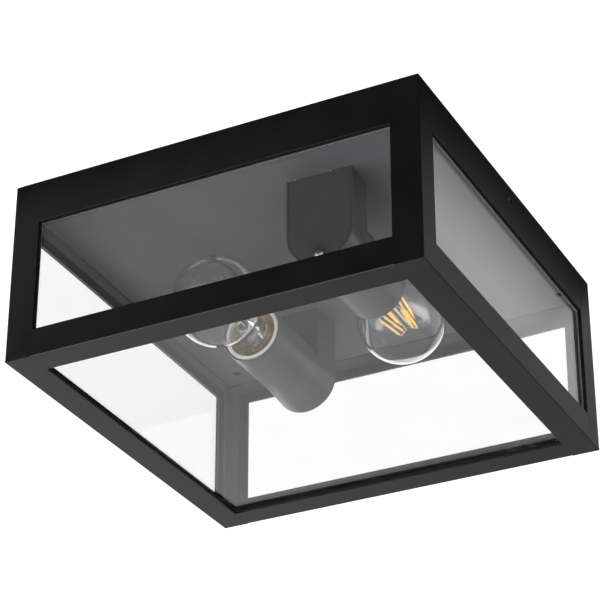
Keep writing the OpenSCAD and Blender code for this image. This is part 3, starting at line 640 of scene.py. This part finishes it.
def lampholderPiece(side):
    # porcelain cup: tail, cone and rim outside, then the bore, the pocket and the chamber
    inner = lamp["radius"] - lamp["rimWidth"]
    shellEnd = lamp["floorFront"] + threadShell["length"]
    mouth = holder["length"] - lamp["mouthInset"]
    chamberBack = lamp["floorBack"] - lamp["chamberLength"]
    outline = [
        (lamp["bore"], lamp["back"]),
        (lamp["tailRadius"], lamp["back"]),
        (lamp["tailRadius"], lamp["floorFront"] + lamp["tailLength"]),
        (lamp["radius"], lamp["floorFront"] + lamp["coneEnd"]),
        (lamp["radius"], mouth),
        (inner, mouth),
        (inner, shellEnd + lamp["boreStep"]),
        (lamp["pocketRadius"], shellEnd),
        (lamp["pocketRadius"], lamp["floorFront"]),
        (lamp["rivetBore"], lamp["floorFront"]),
        (lamp["rivetBore"], lamp["floorBack"]),
        (lamp["chamberRadius"], lamp["floorBack"]),
        (lamp["chamberRadius"], chamberBack),
        (lamp["bore"], chamberBack),
    ]
    piece = lathe("lampholderCup" + side.capitalize(), rounded(outline, lamp["radii"]),
                  axisPlace(side), porcelain, lamp["segments"])
    settle(piece, "lampholder_" + side)


def threadShellPiece(side):
    low, high = lamp["floorFront"], lamp["floorFront"] + threadShell["length"]
    skin, steps = threadShell["skin"], threadShell["steps"]
    middle = threadShell["radius"] + threadShell["wall"] / 2
    heights = [low + (high - low) * k / steps for k in range(steps + 1)]
    outline = [(middle - skin, z) for z in heights]
    outline += [(middle + skin, z) for z in reversed(heights)]

    def helix(radius, height, turn):
        fade = min(1.0, (high - height) / threadShell["runOut"],
                   (height - low) / threadShell["runOut"])
        wave = math.cos(2 * math.pi * height / threadShell["pitch"] - turn)
        return (threadShell["wave"] - skin) * fade * wave

    piece = lathe("threadShell" + side.capitalize(), outline, axisPlace(side), metals["brass"],
                  threadShell["segments"], helix)
    settle(piece, "thread_shell_" + side)


bulb = {
    # heights run along the bulb's own axis from its contact; sag is its droop in degrees
    "seat": 50.2 * mm, "pivot": 59.5 * mm, "sag": {"left": 0.8, "right": 2.6},
    "out": {"left": 9 * mm, "right": 0.0}, "radius": 31 * mm, "centre": 76 * mm,
    "wall": 0.5 * mm, "neck": 14.2 * mm, "neckSlope": 0.15, "glassFit": 0.05 * mm,
    "glassFoot": 2 * mm, "blendDepth": 17 * mm, "steps": 22, "segments": 128,
    "shoulderStart": 0.3 * mm, "shoulderRise": 0.4 * mm, "shoulderHeight": 2 * mm,
    "shoulderPoints": (0.08, 0.3, 0.6, 0.85), "shoulderCurve": 0.8,
}
cap = {
    "rim": 26.5 * mm, "crestRadius": 13.25 * mm, "crest": 0.35 * mm, "wall": 0.3 * mm,
    "pitch": threadShell["pitch"], "threadStart": 6 * mm, "turns": 5, "foot": 5 * mm,
    "floor": 9 * mm, "floorDip": 0.4 * mm, "footRound": 1.0 * mm, "footRise": 0.6 * mm,
    "runIn": 1.5 * mm, "runOut": 1.2 * mm, "land": 0.9, "steps": 90, "segments": 96,
}
capBore = cap["crestRadius"] - 2 * cap["crest"] - cap["wall"]


def bulbPlace(side):
    droop = Matrix.Rotation(math.radians(-90 - bulb["sag"][side]), 4, "X")
    along = Matrix.Translation((0, 0, bulb["seat"] + bulb["out"][side] - bulb["pivot"]))
    pivot = Matrix.Translation((0, bulb["pivot"], holder["axisZ"]))
    return holderPlace(side) @ pivot @ droop @ along


def flowing(t, start, startSlope, end, endSlope):
    # a smooth run from one radius to another, with a slope at each end
    return ((2 * t ** 3 - 3 * t ** 2 + 1) * start + (t ** 3 - 2 * t ** 2 + t) * startSlope
            + (3 * t ** 2 - 2 * t ** 3) * end + (t ** 3 - t ** 2) * endSlope)


def glassOutline(inset):
    # from the cap, over the shoulder, the neck and the blend, to the dome's pole
    radius = bulb["radius"] - inset
    neck = bulb["neck"] - inset
    foot = capBore - bulb["glassFit"] - inset
    shoulder = cap["rim"] + bulb["shoulderRise"]
    low, high = shoulder + bulb["shoulderHeight"], bulb["centre"] - bulb["blendDepth"]
    steps, domeSteps = bulb["steps"], 2 * bulb["steps"]
    made = [(foot, cap["rim"] - bulb["glassFoot"]), (foot, shoulder - bulb["shoulderStart"])]
    for t in bulb["shoulderPoints"]:
        rise = bulb["shoulderHeight"] * t ** bulb["shoulderCurve"]
        made.append((foot + (neck - foot) * t, shoulder + rise))
    rim = math.sqrt(radius ** 2 - (high - bulb["centre"]) ** 2)
    slope = (bulb["centre"] - high) / rim
    span = high - low
    for k in range(steps + 1):
        t = k / steps
        made.append((flowing(t, neck, span * bulb["neckSlope"], rim, span * slope), low + span * t))
    start = math.asin((high - bulb["centre"]) / radius)
    for k in range(1, domeSteps + 1):
        angle = start + (math.pi / 2 - start) * k / domeSteps
        r = 0.0 if k == domeSteps else radius * math.cos(angle)
        made.append((r, bulb["centre"] + radius * math.sin(angle)))
    return made


def bulbGlassPiece(side):
    outline = glassOutline(0.0) + list(reversed(glassOutline(bulb["wall"])))
    piece = lathe("bulbGlass" + side.capitalize(), outline, bulbPlace(side), glasses["bulb"],
                  bulb["segments"])
    settle(piece, "bulb_glass_" + side)


def bulbCapPiece(side):
    outer, foot = cap["crestRadius"] - cap["crest"], cap["foot"]
    low, high, steps = foot + cap["footRise"], cap["rim"], cap["steps"]
    threadEnd = cap["threadStart"] + cap["turns"] * cap["pitch"]
    outline = [(cap["floor"], foot - cap["floorDip"]), (outer - cap["footRound"], foot)]
    outline += [(outer, low + (high - low) * k / steps) for k in range(steps + 1)]
    outline += [(capBore, high), (capBore, foot + cap["wall"]),
                (cap["floor"], foot + cap["wall"] - cap["floorDip"])]

    def helix(radius, height, turn):
        if radius < outer:
            return 0.0
        fade = min(1.0, (height - low) / cap["runIn"], (threadEnd - height) / cap["runOut"])
        fade = max(0.0, fade)
        wave = math.cos(2 * math.pi * height / cap["pitch"] - turn)
        return cap["crest"] * (fade * wave - (1 - fade) * cap["land"])

    piece = lathe("bulbCap" + side.capitalize(), outline, bulbPlace(side), metals["cap"],
                  cap["segments"], helix)
    settle(piece, "bulb_cap_" + side)


filament = {
    # bars that lean towards the axis, in pairs; turns are degrees round the stem
    "thickness": 1.6 * mm, "taper": 0.5, "low": 58 * mm, "high": 86.5 * mm,
    "lowReach": 11.5 * mm, "highReach": 7.9 * mm, "pairGap": 3.6 * mm, "tip": 2.2 * mm,
    "turns": [21, 137, 211, 306], "wobble": 0.6, "rings": 36, "facets": 16,
    "taperFall": 3.0, "tipFall": 12.0, "tipRadius": 0.1,
}
stem = {
    "footDepth": 1.5 * mm, "play": 0.15 * mm, "flareHeight": 1 * mm, "waist": 6 * mm,
    "waistHeight": 5.5 * mm, "pressRadius": 3.6 * mm, "press": 41.5 * mm, "rod": 1.8 * mm,
    "rodStart": 5 * mm, "rodEnd": 3 * mm, "bead": 2.0 * mm, "beadStart": 2 * mm,
    "beadEnd": 1 * mm, "tip": 2 * mm, "segments": 48,
    "radii": {1: 0.3 * mm, 2: 0.6 * mm, 3: 4 * mm, 4: 2 * mm, 5: 3 * mm, 6: 0.5 * mm,
              7: 0.8 * mm, 8: 1.2 * mm},
}


def stemPiece(side):
    # flared foot, pressed waist, rod and bead, all of clear glass
    foot = cap["rim"] - stem["footDepth"]
    flare = capBore - bulb["wall"] - stem["play"]
    top = filament["high"]
    outline = [
        (0.0, foot),
        (flare, foot),
        (flare, foot + stem["flareHeight"]),
        (stem["waist"], foot + stem["waistHeight"]),
        (stem["pressRadius"], stem["press"]),
        (stem["rod"], stem["press"] + stem["rodStart"]),
        (stem["rod"], top - stem["rodEnd"]),
        (stem["bead"], top - stem["beadStart"]),
        (stem["bead"], top + stem["beadEnd"]),
        (0.0, top + stem["tip"]),
    ]
    piece = lathe("bulbStem" + side.capitalize(), rounded(outline, stem["radii"]),
                  bulbPlace(side), glasses["bulb"], stem["segments"])
    settle(piece, "bulb_stem_" + side)


def geometryTree(name, inputs):
    # a geometry tree with named inputs, and their values as signals
    tree = bpy.data.node_groups.new(name, "GeometryNodeTree")
    for label, kind in inputs.items():
        tree.interface.new_socket(label, in_out="INPUT", socket_type=kind)
    tree.interface.new_socket("Mesh", in_out="OUTPUT", socket_type="NodeSocketGeometry")
    graph = Graph(tree)
    start = graph.node("NodeGroupInput").socket.node
    return graph, {label: Signal(graph, start.outputs[label]) for label in inputs}


def grownPiece(name, tree, values, place):
    # runs a geometry tree with these values, and keeps its result as a plain mesh
    carrier = bpy.data.objects.new(name, bpy.data.meshes.new(name))
    bpy.context.scene.collection.objects.link(carrier)
    modifier = carrier.modifiers.new("grow", "NODES")
    modifier.node_group = tree
    sockets = [item for item in tree.interface.items_tree if item.in_out == "INPUT"]
    for socket in sockets:
        modifier[socket.identifier] = values[socket.name]
    applyModifiers(carrier)
    carrier.data.transform(place)
    return carrier


def leaningPairTree():
    # a pair of round bars that lean towards the axis and narrow at both ends
    lengths = ["Low Reach", "High Reach", "Pair Gap", "Low End", "High End", "Thickness",
               "Taper", "Turn", "Wobble"]
    graph, value = geometryTree("leaningPair", {
        **{label: "NodeSocketFloat" for label in lengths},
        "Seed": "NodeSocketInt", "Material": "NodeSocketMaterial"})
    start = graph.node("ShaderNodeCombineXYZ", {}, {0: value["Low Reach"], 2: value["Low End"]})
    end = graph.node("ShaderNodeCombineXYZ", {}, {0: value["High Reach"], 2: value["High End"]})
    line = graph.node("GeometryNodeCurvePrimitiveLine", {"mode": "POINTS"}, {
        "Start": start, "End": end})
    line = graph.node("GeometryNodeResampleCurve", {}, {"Curve": line, "Count": filament["rings"]})
    along = graph.node("GeometryNodeSplineParameter", out="Factor")
    nearEnd = (0.5 - (along - 0.5).size()) * 2.0
    taper = (nearEnd * filament["taperFall"]).under(1.0)
    narrowing = value["Taper"] + (1.0 - value["Taper"]) * taper
    tip = (nearEnd * filament["tipFall"]).under(1.0).power(0.5)
    swell = narrowing * (filament["tipRadius"] + (1.0 - filament["tipRadius"]) * tip)
    line = graph.node("GeometryNodeSetCurveRadius", {}, {"Curve": line, "Radius": swell})
    ring = graph.node("GeometryNodeCurvePrimitiveCircle", {}, {
        "Resolution": filament["facets"], "Radius": value["Thickness"] * 0.5})
    bar = graph.node("GeometryNodeCurveToMesh", {}, {
        "Curve": line, "Profile Curve": ring, "Fill Caps": True})
    points = graph.node("GeometryNodePoints", {}, {"Count": 2})
    index = graph.node("GeometryNodeInputIndex")
    wobble = graph.node("FunctionNodeRandomValue", {"data_type": "FLOAT"}, {
        2: value["Wobble"] * -1.0, 3: value["Wobble"], "ID": index, "Seed": value["Seed"]}, out=1)
    rotation = graph.node("ShaderNodeCombineXYZ", {}, {2: value["Turn"] + wobble})
    bars = graph.node("GeometryNodeInstanceOnPoints", {}, {
        "Points": points, "Instance": bar, "Rotation": rotation})
    inset = graph.node("ShaderNodeCombineXYZ", {}, {0: index * value["Pair Gap"] * -1.0})
    bars = graph.node("GeometryNodeTranslateInstances", {}, {
        "Instances": bars, "Translation": inset, "Local Space": True})
    bars = graph.node("GeometryNodeRealizeInstances", {}, {"Geometry": bars})
    bars = graph.node("GeometryNodeSetMaterial", {}, {
        "Geometry": bars, "Material": value["Material"]})
    graph.node("NodeGroupOutput", {}, {"Mesh": bars})
    return graph.tree


leaningPair = leaningPairTree()
lean = (filament["lowReach"] - filament["highReach"]) / (filament["high"] - filament["low"])


def filamentPiece(side):
    grown = bmesh.new()
    tip = filament["tip"]
    for seed, turn in enumerate(filament["turns"]):
        pair = grownPiece("filamentPair", leaningPair, {
            "Low Reach": filament["lowReach"] - lean * tip,
            "High Reach": filament["highReach"] + lean * tip,
            "Pair Gap": filament["pairGap"],
            "Low End": filament["low"] + tip,
            "High End": filament["high"] - tip,
            "Thickness": filament["thickness"],
            "Taper": filament["taper"],
            "Turn": math.radians(turn),
            "Wobble": math.radians(filament["wobble"]),
            "Seed": seed,
            "Material": soft["filament"],
        }, bulbPlace(side))
        grown.from_mesh(pair.data)
        bpy.data.objects.remove(pair)
    name = "bulbFilaments" + side.capitalize()
    mesh = bpy.data.meshes.new(name)
    grown.to_mesh(mesh)
    grown.free()
    smooth(mesh)
    settle(newPiece(name, mesh, soft["filament"]), "bulb_filaments_" + side)


def tube(shell, points, radius, sides=10):
    # a round wire through points, closed at both ends
    rings = []
    for k, point in enumerate(points):
        before = points[max(0, k - 1)]
        after = points[min(len(points) - 1, k + 1)]
        forward = (after - before).normalized()
        across = forward.orthogonal() if k == 0 else across - forward * across.dot(forward)
        across = across.normalized()
        up = forward.cross(across)
        ring = []
        for j in range(sides):
            turn = 2 * math.pi * j / sides
            spoke = across * math.cos(turn) + up * math.sin(turn)
            ring.append(shell.verts.new(point + spoke * radius))
        rings.append(ring)
    for lower, upper in zip(rings, rings[1:]):
        for j in range(sides):
            shell.faces.new([lower[j], lower[(j + 1) % sides], upper[(j + 1) % sides], upper[j]])
    shell.faces.new(list(reversed(rings[0])))
    shell.faces.new(rings[-1])


wires = {
    # tips run into the filaments, arms join them to the stem, leads run up its sides
    "radius": 0.35 * mm, "play": 0.4 * mm, "tipShare": 1.1, "tipLap": 1.4, "armShare": 0.9,
    "beadInset": 0.3 * mm, "beadDrop": 1.0 * mm, "beadOut": 0.8 * mm,
    "kneeOut": 3.2 * mm, "kneeDrop": 4.0 * mm, "pressOut": 2.9 * mm, "pressHeight": 40 * mm,
    "leadTurns": (145, 325), "leadFoot": (2.6 * mm, 42 * mm), "leadKnee": 48 * mm,
    "rodShare": 0.6, "beadShare": 0.4, "beadHeights": (-3 * mm, -1.5 * mm, 1 * mm),
}


def wirePiece(side):
    wire, bead, lap = wires["radius"], stem["bead"], filament["tip"] * wires["tipLap"]
    low, high = filament["low"], filament["high"]
    lowZ, highZ = low - wires["play"] - wire, high + wires["play"] + wire
    shell = bmesh.new()

    def strand(turn, share, *path):
        # a wire through (reach, height) points in the half plane at this turn
        out = Vector((math.cos(math.radians(turn)), math.sin(math.radians(turn)), 0))
        up = Vector((0, 0, 1))
        tube(shell, [out * reach + up * height for reach, height in path], wire * share)

    for turn in filament["turns"]:
        for inset in (0.0, filament["pairGap"]):
            foot, head = filament["lowReach"] - inset, filament["highReach"] - inset
            strand(turn, wires["tipShare"],
                   (foot, lowZ), (foot, low), (foot - lean * lap, low + lap))
            strand(turn, wires["tipShare"],
                   (head + lean * lap, high - lap), (head, high), (head, highZ))
        strand(turn, wires["armShare"],
               (bead - wires["beadInset"], highZ - wires["beadDrop"]),
               (bead + wires["beadOut"], highZ), (filament["highReach"], highZ))
        strand(turn, wires["armShare"],
               (filament["lowReach"], lowZ), (filament["lowReach"] - filament["pairGap"], lowZ),
               (wires["kneeOut"], lowZ - wires["kneeDrop"]),
               (wires["pressOut"], wires["pressHeight"]))
    atRod, atBead = stem["rod"] + wire * wires["rodShare"], bead + wire * wires["beadShare"]
    below, beside, over = (high + rise for rise in wires["beadHeights"])
    for turn in wires["leadTurns"]:
        strand(turn, 1.0, wires["leadFoot"], (atRod, wires["leadKnee"]), (atRod, below),
               (atBead, beside), (atBead, over))
    bmesh.ops.recalc_face_normals(shell, faces=shell.faces)
    name = "filamentWires" + side.capitalize()
    mesh = bpy.data.meshes.new(name)
    shell.to_mesh(mesh)
    shell.free()
    mesh.transform(bulbPlace(side))
    smooth(mesh, easing["sheetCrease"])
    settle(newPiece(name, mesh, soft["wire"]), "filament_wires_" + side)


for side in sides:
    lampholderPiece(side)
    threadShellPiece(side)
    bulbGlassPiece(side)
    bulbCapPiece(side)
    stemPiece(side)
    filamentPiece(side)
    wirePiece(side)
print("stage: lampholders and bulbs")


room = {
    # strengths of the world, each with the run of directions over which it changes
    "white": 1.22, "horizon": (-0.15, 0.15), "ahead": (0.5, -0.87),
    "back": 0.42, "front": 0.02, "frontRun": (-0.1, 0.7), "far": 1.15, "farRun": (-0.9, -0.55),
    "belowLeft": 0.68, "below": 0.24, "leftRun": (-0.58, -0.30),
    "level": 0.10, "levelRun": (-0.47, -0.38),
    "mirrorLevel": 0.6, "mirrorBelow": 0.26, "mirrorRun": (0.2, 0.5),
    # direction, strength and edge of each glow; satin paint shows a share of the broad ones
    "glows": [
        ((-0.70, -0.35, -0.60), 3.4, 0.55), ((0.30, -0.70, -0.65), 2.3, 0.6),
        ((0.98, -0.08, -0.05), 5.0, 0.95), ((0.35, -0.10, -0.93), 1.6, 0.7),
    ],
    "satinShare": 0.4, "broadEdge": 0.9,
}


def aheadOf(x, y):
    # how far something lies towards the dark front right of the room
    return x * room["ahead"][0] + y * room["ahead"][1]


def studioWorld():
    # plain white to the eye; a soft room to everything that is lit or mirrored
    world = bpy.data.worlds.new("whiteStudio")
    world.use_nodes = True
    world.node_tree.nodes.clear()
    graph = Graph(world.node_tree)
    direction = graph.node("ShaderNodeTexCoord", out="Generated")
    x, y, z = graph.axes(direction)
    ahead = aheadOf(x, y)
    above = ahead.ramp(*room["frontRun"], room["back"], room["front"])
    above = above + ahead.ramp(*room["farRun"], room["far"] - room["back"], 0.0)
    below = x.ramp(*room["leftRun"], room["belowLeft"], room["below"])
    below = below + z.ramp(*room["levelRun"], 0.0, room["level"])
    # bare glass mirrors a brighter room than the paint does
    sharp = graph.rays("Is Singular Ray")
    steep = z.size()
    above = above + sharp * steep.ramp(*room["mirrorRun"], room["mirrorLevel"], 0.0)
    below = below + sharp * steep.ramp(*room["mirrorRun"], room["mirrorLevel"], room["mirrorBelow"])
    upper = z.ramp(*room["horizon"])
    light = upper * above + (1.0 - upper) * below
    satin = graph.rays("Is Glossy Ray") * (1.0 - sharp)
    shown = 1.0 - satin * (1.0 - room["satinShare"])
    for place, strength, edge in room["glows"]:
        toLamp = graph.node("ShaderNodeVectorMath", {"operation": "DOT_PRODUCT"}, {
            0: direction, 1: Vector(place).normalized()}, out=1)
        glow = toLamp.ramp(edge, 1.0, 0.0, strength)
        light = light + (glow if edge > room["broadEdge"] else glow * shown)
    bounced = (graph.rays("Diffuse Depth") + graph.rays("Glossy Depth")).above(0.5)
    seen = graph.rays("Is Camera Ray").over(graph.rays("Is Transmission Ray") * (1.0 - bounced))
    strength = seen * room["white"] + (1.0 - seen) * light
    background = graph.node("ShaderNodeBackground", {}, {"Color": grey(1.0), "Strength": strength})
    graph.finish(background, "ShaderNodeOutputWorld")
    bpy.context.scene.world = world


def studioSheet(name, half, z, material, unseenBy, facesDown):
    # a level square about the middle
    ring = [(-half, -half, z), (half, -half, z), (half, half, z), (-half, half, z)]
    mesh = bpy.data.meshes.new(name)
    mesh.from_pydata(ring, [], [(0, 3, 2, 1) if facesDown else (0, 1, 2, 3)])
    sheet = newPiece(name, mesh, material)
    for ray in unseenBy:
        setattr(sheet, "visible_" + ray, False)
    return sheet


ground = {
    "z": -2.4, "half": 8.0, "tone": 0.76, "shadeShare": 0.97, "clouds": (1.5, 2.0, 0.5),
    "roughness": 0.8, "glow": 0.6, "unseenBy": ("diffuse", "glossy", "shadow"),
}


def studioFloor():
    # paler to the eye than as a source of light; the lantern is lit by the room instead
    material, paint = newMaterial("paleFloor")
    clouds = paint.noise(*ground["clouds"], paint.place())
    tone = paint.blend(clouds, grey(ground["tone"] * ground["shadeShare"]), grey(ground["tone"]))
    matt = {"Base Color": tone, "Roughness": ground["roughness"]}
    glowing = {**matt, "Emission Color": tone, "Emission Strength": ground["glow"]}
    paint.finish(paint.choose(
        paint.rays("Is Camera Ray"), paint.principled(matt), paint.principled(glowing)))
    floor = studioSheet(
        "floor", ground["half"], ground["z"], material, ground["unseenBy"], facesDown=False)


overhead = {
    "half": 2.5, "z": 0.2 * mm, "tone": 0.36, "mirror": 1.1, "lanternHalf": 0.15,
    "edgeTone": 0.1, "edgeRun": (0.0, 0.065), "mirrorRun": (-0.22, -0.14),
    "frontRun": (0.05, 0.28),
    "unseenBy": ("camera", "diffuse", "transmission", "shadow", "volume_scatter"),
}


def studioCeiling():
    # ceiling over the lantern, there only for the paint and the glass to mirror: it has a painted
    # shadow right beside the lantern, is dimmer towards the front right, and is brighter for the
    # panes than for paint
    material, card = newMaterial("ceilingCard")
    x, y, z = card.axes(card.place())
    aside = x.size().over(y.size()) - overhead["lanternHalf"]
    sharp = card.rays("Is Singular Ray") * y.ramp(*overhead["mirrorRun"])
    share = overhead["tone"] / overhead["mirror"]
    fall = aheadOf(x, y).ramp(*overhead["frontRun"], 1.0, 0.0)
    tone = share + sharp * (1.0 - share)
    # painted shadow: darker right beside the lantern, dimmer towards the front right
    tone = tone * aside.ramp(*overhead["edgeRun"], overhead["edgeTone"], 1.0) * fall.over(sharp)
    card.finish(card.principled({
        "Base Color": grey(0.0),
        "Specular IOR Level": 0.0,
        "Emission Color": card.blend(tone, grey(0.0), grey(1.0)),
        "Emission Strength": overhead["mirror"],
    }))
    ceiling = studioSheet(
        "ceiling", overhead["half"], overhead["z"], material, overhead["unseenBy"], facesDown=True)


softbox = {"place": (-1.3, -0.7, -1.2), "target": (0, 0, -0.07), "size": 1.2, "power": 4.0}


def studioLight():
    source = bpy.data.lights.new("keyLight", "AREA")
    source.shape = "SQUARE"
    source.size = softbox["size"]
    source.energy = softbox["power"]
    light = bpy.data.objects.new("keyLight", source)
    bpy.context.scene.collection.objects.link(light)
    aim = Vector(softbox["target"]) - Vector(softbox["place"])
    light.location = softbox["place"]
    light.rotation_euler = aim.to_track_quat("-Z", "Y").to_euler()


camera = {
    "place": (0.62290, -1.24284, -0.83625), "right": (0.89112, 0.45376, 0.0),
    "forward": (-0.39523, 0.77637, 0.49097), "lens": 137.667, "sensor": 36.0, "clip": 0.05,
}


def studioCamera():
    data = bpy.data.cameras.new("photoView")
    data.lens = camera["lens"]
    data.sensor_width = camera["sensor"]
    data.clip_start = camera["clip"]
    eye = bpy.data.objects.new("photoView", data)
    forward = Vector(camera["forward"]).normalized()
    right = Vector(camera["right"]).normalized()
    up = right.cross(forward)
    turn = Matrix((right, up, -forward)).transposed().to_4x4()
    eye.matrix_world = Matrix.Translation(camera["place"]) @ turn
    bpy.context.scene.collection.objects.link(eye)
    bpy.context.scene.camera = eye


studioWorld()
studioFloor()
studioCeiling()
studioLight()
studioCamera()
scene = bpy.context.scene
scene.view_settings.view_transform = "Standard"
scene.view_settings.look = "None"
scene.cycles.use_denoising = True
scene.cycles.max_bounces = 20
scene.cycles.transmission_bounces = 20
scene.cycles.transparent_max_bounces = 24
scene.cycles.glossy_bounces = 6
print("stage: studio")
